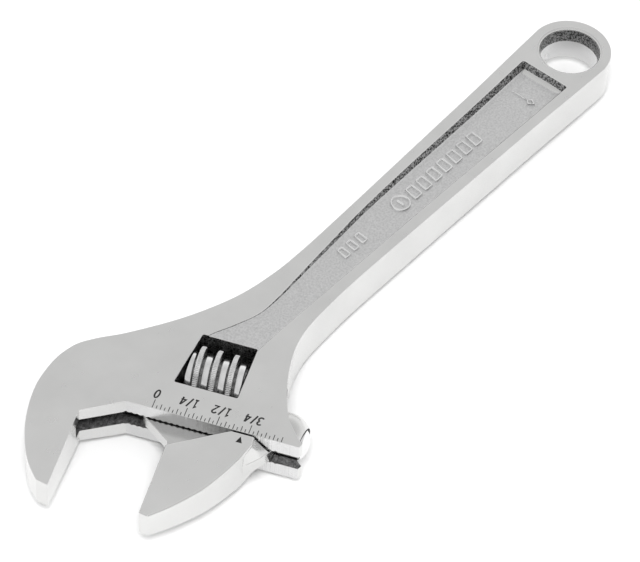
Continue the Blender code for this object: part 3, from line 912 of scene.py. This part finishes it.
def spread(tree, value, low, high, start=0.3, end=0.7):
    """value from start to end made into low to high."""
    made = node(tree, "ShaderNodeMapRange")
    for name, number in (("From Min", start), ("From Max", end), ("To Min", low), ("To Max", high)):
        made.inputs[name].default_value = number
    tree.links.new(value, made.inputs["Value"])
    return made.outputs["Result"]


def tint(tree, value, dark, light, reach=0.2):
    ramp = node(tree, "ShaderNodeValToRGB")
    ramp.color_ramp.elements[0].position = 0.5 - reach
    ramp.color_ramp.elements[0].color = (*dark, 1.0)
    ramp.color_ramp.elements[1].position = 0.5 + reach
    ramp.color_ramp.elements[1].color = (*light, 1.0)
    tree.links.new(value, ramp.inputs["Fac"])
    return ramp.outputs["Color"]


def metal(name, dark, light, rough, grain, depth, blotch=90.0, metallic=1.0, lines=None, reach=0.2):
    """Metal with a wandering colour and roughness, and with grain. lines adds fine marks across S."""
    made = bpy.data.materials.new(name)
    made.use_nodes = True
    tree = made.node_tree
    shader = tree.nodes["Principled BSDF"]
    shader.inputs["Metallic"].default_value = metallic
    place = node(tree, "ShaderNodeTexCoord").outputs["Object"]
    colour = tint(tree, noise(tree, place, blotch), dark, light, reach)
    tree.links.new(colour, shader.inputs["Base Color"])
    wander = spread(tree, noise(tree, place, blotch * 4, 4.0), rough[0], rough[1])
    tree.links.new(wander, shader.inputs["Roughness"])
    bump = node(tree, "ShaderNodeBump", Strength=1.0, Distance=depth * MM)
    tree.links.new(noise(tree, place, grain, 4.0, 0.6), bump.inputs["Height"])
    tree.links.new(bump.outputs["Normal"], shader.inputs["Normal"])
    if lines:
        along = node(tree, "ShaderNodeVectorMath", operation="DOT_PRODUCT")
        tree.links.new(place, along.inputs[0])
        along.inputs[1].default_value = S
        spacing = node(tree, "ShaderNodeCombineXYZ")
        tree.links.new(along.outputs["Value"], spacing.inputs["X"])
        comb = noise(tree, spacing.outputs["Vector"], lines[0], 2.0)
        marks = node(tree, "ShaderNodeBump", Strength=1.0, Distance=lines[1] * MM)
        tree.links.new(comb, marks.inputs["Height"])
        tree.links.new(bump.outputs["Normal"], marks.inputs["Normal"])
        tree.links.new(marks.outputs["Normal"], shader.inputs["Normal"])
    return made


def grey(level, warm=0.0):
    return (level, level, level * (1 - warm))


def make_finishes():
    made = [
        metal("satin_chrome", grey(0.74, 0.01), grey(0.79, 0.01), (0.27, 0.33), 2600.0, 0.004),
        metal("side_chrome", grey(0.66, 0.01), grey(0.72, 0.01), (0.17, 0.24), 1500.0, 0.005),
        metal("recess_floor", grey(0.60), grey(0.78), (0.30, 0.42), 2300.0, 0.05, 2600.0),
        # Walls of the recesses, the knurl's window and the upper hole: the dark base is painted shade, the
        # fine grain is the cast texture
        metal("shaded_wall", grey(0.01), grey(0.40), (0.3, 0.5), 2600.0, 0.09, 2900.0, reach=0.11),
        # Inside of the slot, the bores, the pin's seat and the knurl's core: the near-black base is painted
        # shade
        metal("shaded_steel", grey(0.05), grey(0.24), (0.22, 0.38), 1500.0, 0.04, 1100.0, metallic=0.45),
        metal("rail_chrome", grey(0.62), grey(0.74), (0.2, 0.28), 1500.0, 0.004, lines=(2600.0, 0.05)),
        metal("black_paint", grey(0.012), grey(0.03), (0.5, 0.65), 2500.0, 0.01, 900.0, metallic=0.0),
        metal("knurl_chrome", grey(0.74), grey(0.84), (0.14, 0.22), 1500.0, 0.004),
        metal("crest_chrome", grey(0.68), grey(0.84), (0.2, 0.3), 1900.0, 0.006, 900.0),
        metal("pin_steel", grey(0.42), grey(0.55), (0.3, 0.4), 1700.0, 0.01, 500.0),
        metal("spring_steel", grey(0.36), grey(0.46), (0.28, 0.38), 1700.0, 0.006, 500.0),
    ]
    return made


FINISHES = make_finishes()


# ---------------------------------------------------------------- studio

def make_floor():
    edit = bmesh.new()
    half = 2.5
    corners = ((-half, -half), (half, -half), (half, half), (-half, half))
    edit.faces.new([edit.verts.new((x, y, 0.0)) for x, y in corners])
    mesh = bpy.data.meshes.new("floor")
    edit.to_mesh(mesh)
    edit.free()
    floor = bpy.data.objects.new("floor", mesh)
    bpy.context.scene.collection.objects.link(floor)
    card = bpy.data.materials.new("white_card")
    card.use_nodes = True
    shader = card.node_tree.nodes["Principled BSDF"]
    shader.inputs["Base Color"].default_value = (0.93, 0.93, 0.93, 1.0)
    shader.inputs["Roughness"].default_value = 0.9
    shader.inputs["Specular IOR Level"].default_value = 0.1
    mesh.materials.append(card)


def make_world():
    """A soft tent all round: white near the horizon, greyer higher up, a little lighter overhead."""
    world = bpy.data.worlds.new("studio")
    bpy.context.scene.world = world
    world.use_nodes = True
    tree = world.node_tree
    back = tree.nodes["Background"]
    place = node(tree, "ShaderNodeTexCoord")
    parts = node(tree, "ShaderNodeSeparateXYZ")
    tree.links.new(place.outputs["Generated"], parts.inputs["Vector"])
    ramp = node(tree, "ShaderNodeValToRGB")
    ramp.color_ramp.interpolation = "EASE"
    stops = [(0.0, 1.0), (0.25, 1.0), (0.55, 0.78), (0.76, 0.68), (1.0, 0.78)]
    elements = ramp.color_ramp.elements
    while len(elements) < len(stops):
        elements.new(0.5)
    for element, (position, level) in zip(elements, stops):
        element.position = position
        element.color = (level, level, level, 1.0)
    tree.links.new(parts.outputs["Z"], ramp.inputs["Fac"])
    tree.links.new(ramp.outputs["Color"], back.inputs["Color"])
    back.inputs["Strength"].default_value = 1.0


def make_floor_light():
    """A broad lamp overhead that whitens the floor but is kept out of the metal's reflections."""
    lamp = bpy.data.lights.new("floor_light", "AREA")
    lamp.shape = "DISK"
    lamp.size = 0.7
    lamp.energy = 13.0
    item = bpy.data.objects.new("floor_light", lamp)
    item.location = (0.5, 0.37, 1.25)
    item.rotation_euler = (-item.location).to_track_quat("-Z", "Y").to_euler()
    item.visible_glossy = False
    bpy.context.scene.collection.objects.link(item)


def make_camera():
    eye = Vector((0.370697, 0.272997, 0.548384))
    way = Vector((-0.514097, -0.387272, -0.765327))
    roll = math.radians(3.465)
    lens = bpy.data.cameras.new("camera")
    lens.sensor_width = 36.0
    lens.lens = 204.07
    lens.clip_start = 0.01
    lens.clip_end = 20.0
    camera = bpy.data.objects.new("camera", lens)
    turn = way.to_track_quat("-Z", "Y").to_matrix() @ Matrix.Rotation(roll, 3, "Z")
    camera.matrix_world = Matrix.Translation(eye) @ turn.to_4x4()
    bpy.context.scene.collection.objects.link(camera)
    bpy.context.scene.camera = camera


# ---------------------------------------------------------------- assembly

def place_piece(item, body, node_name):
    finish_piece(item)
    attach(item, body)
    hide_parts(node_name)


make_camera()
make_world()
make_floor_light()
make_floor()

place_piece(make_body(), "body", "body")
place_piece(make_jaw(), "jaw", "movable_jaw")
place_piece(make_knurl(), "knurl", "knurl")
place_piece(make_pin(), "body", "knurl_pin")
place_piece(make_spring(), "body", "knurl_spring")

bpy.context.scene.view_settings.view_transform = "Standard"
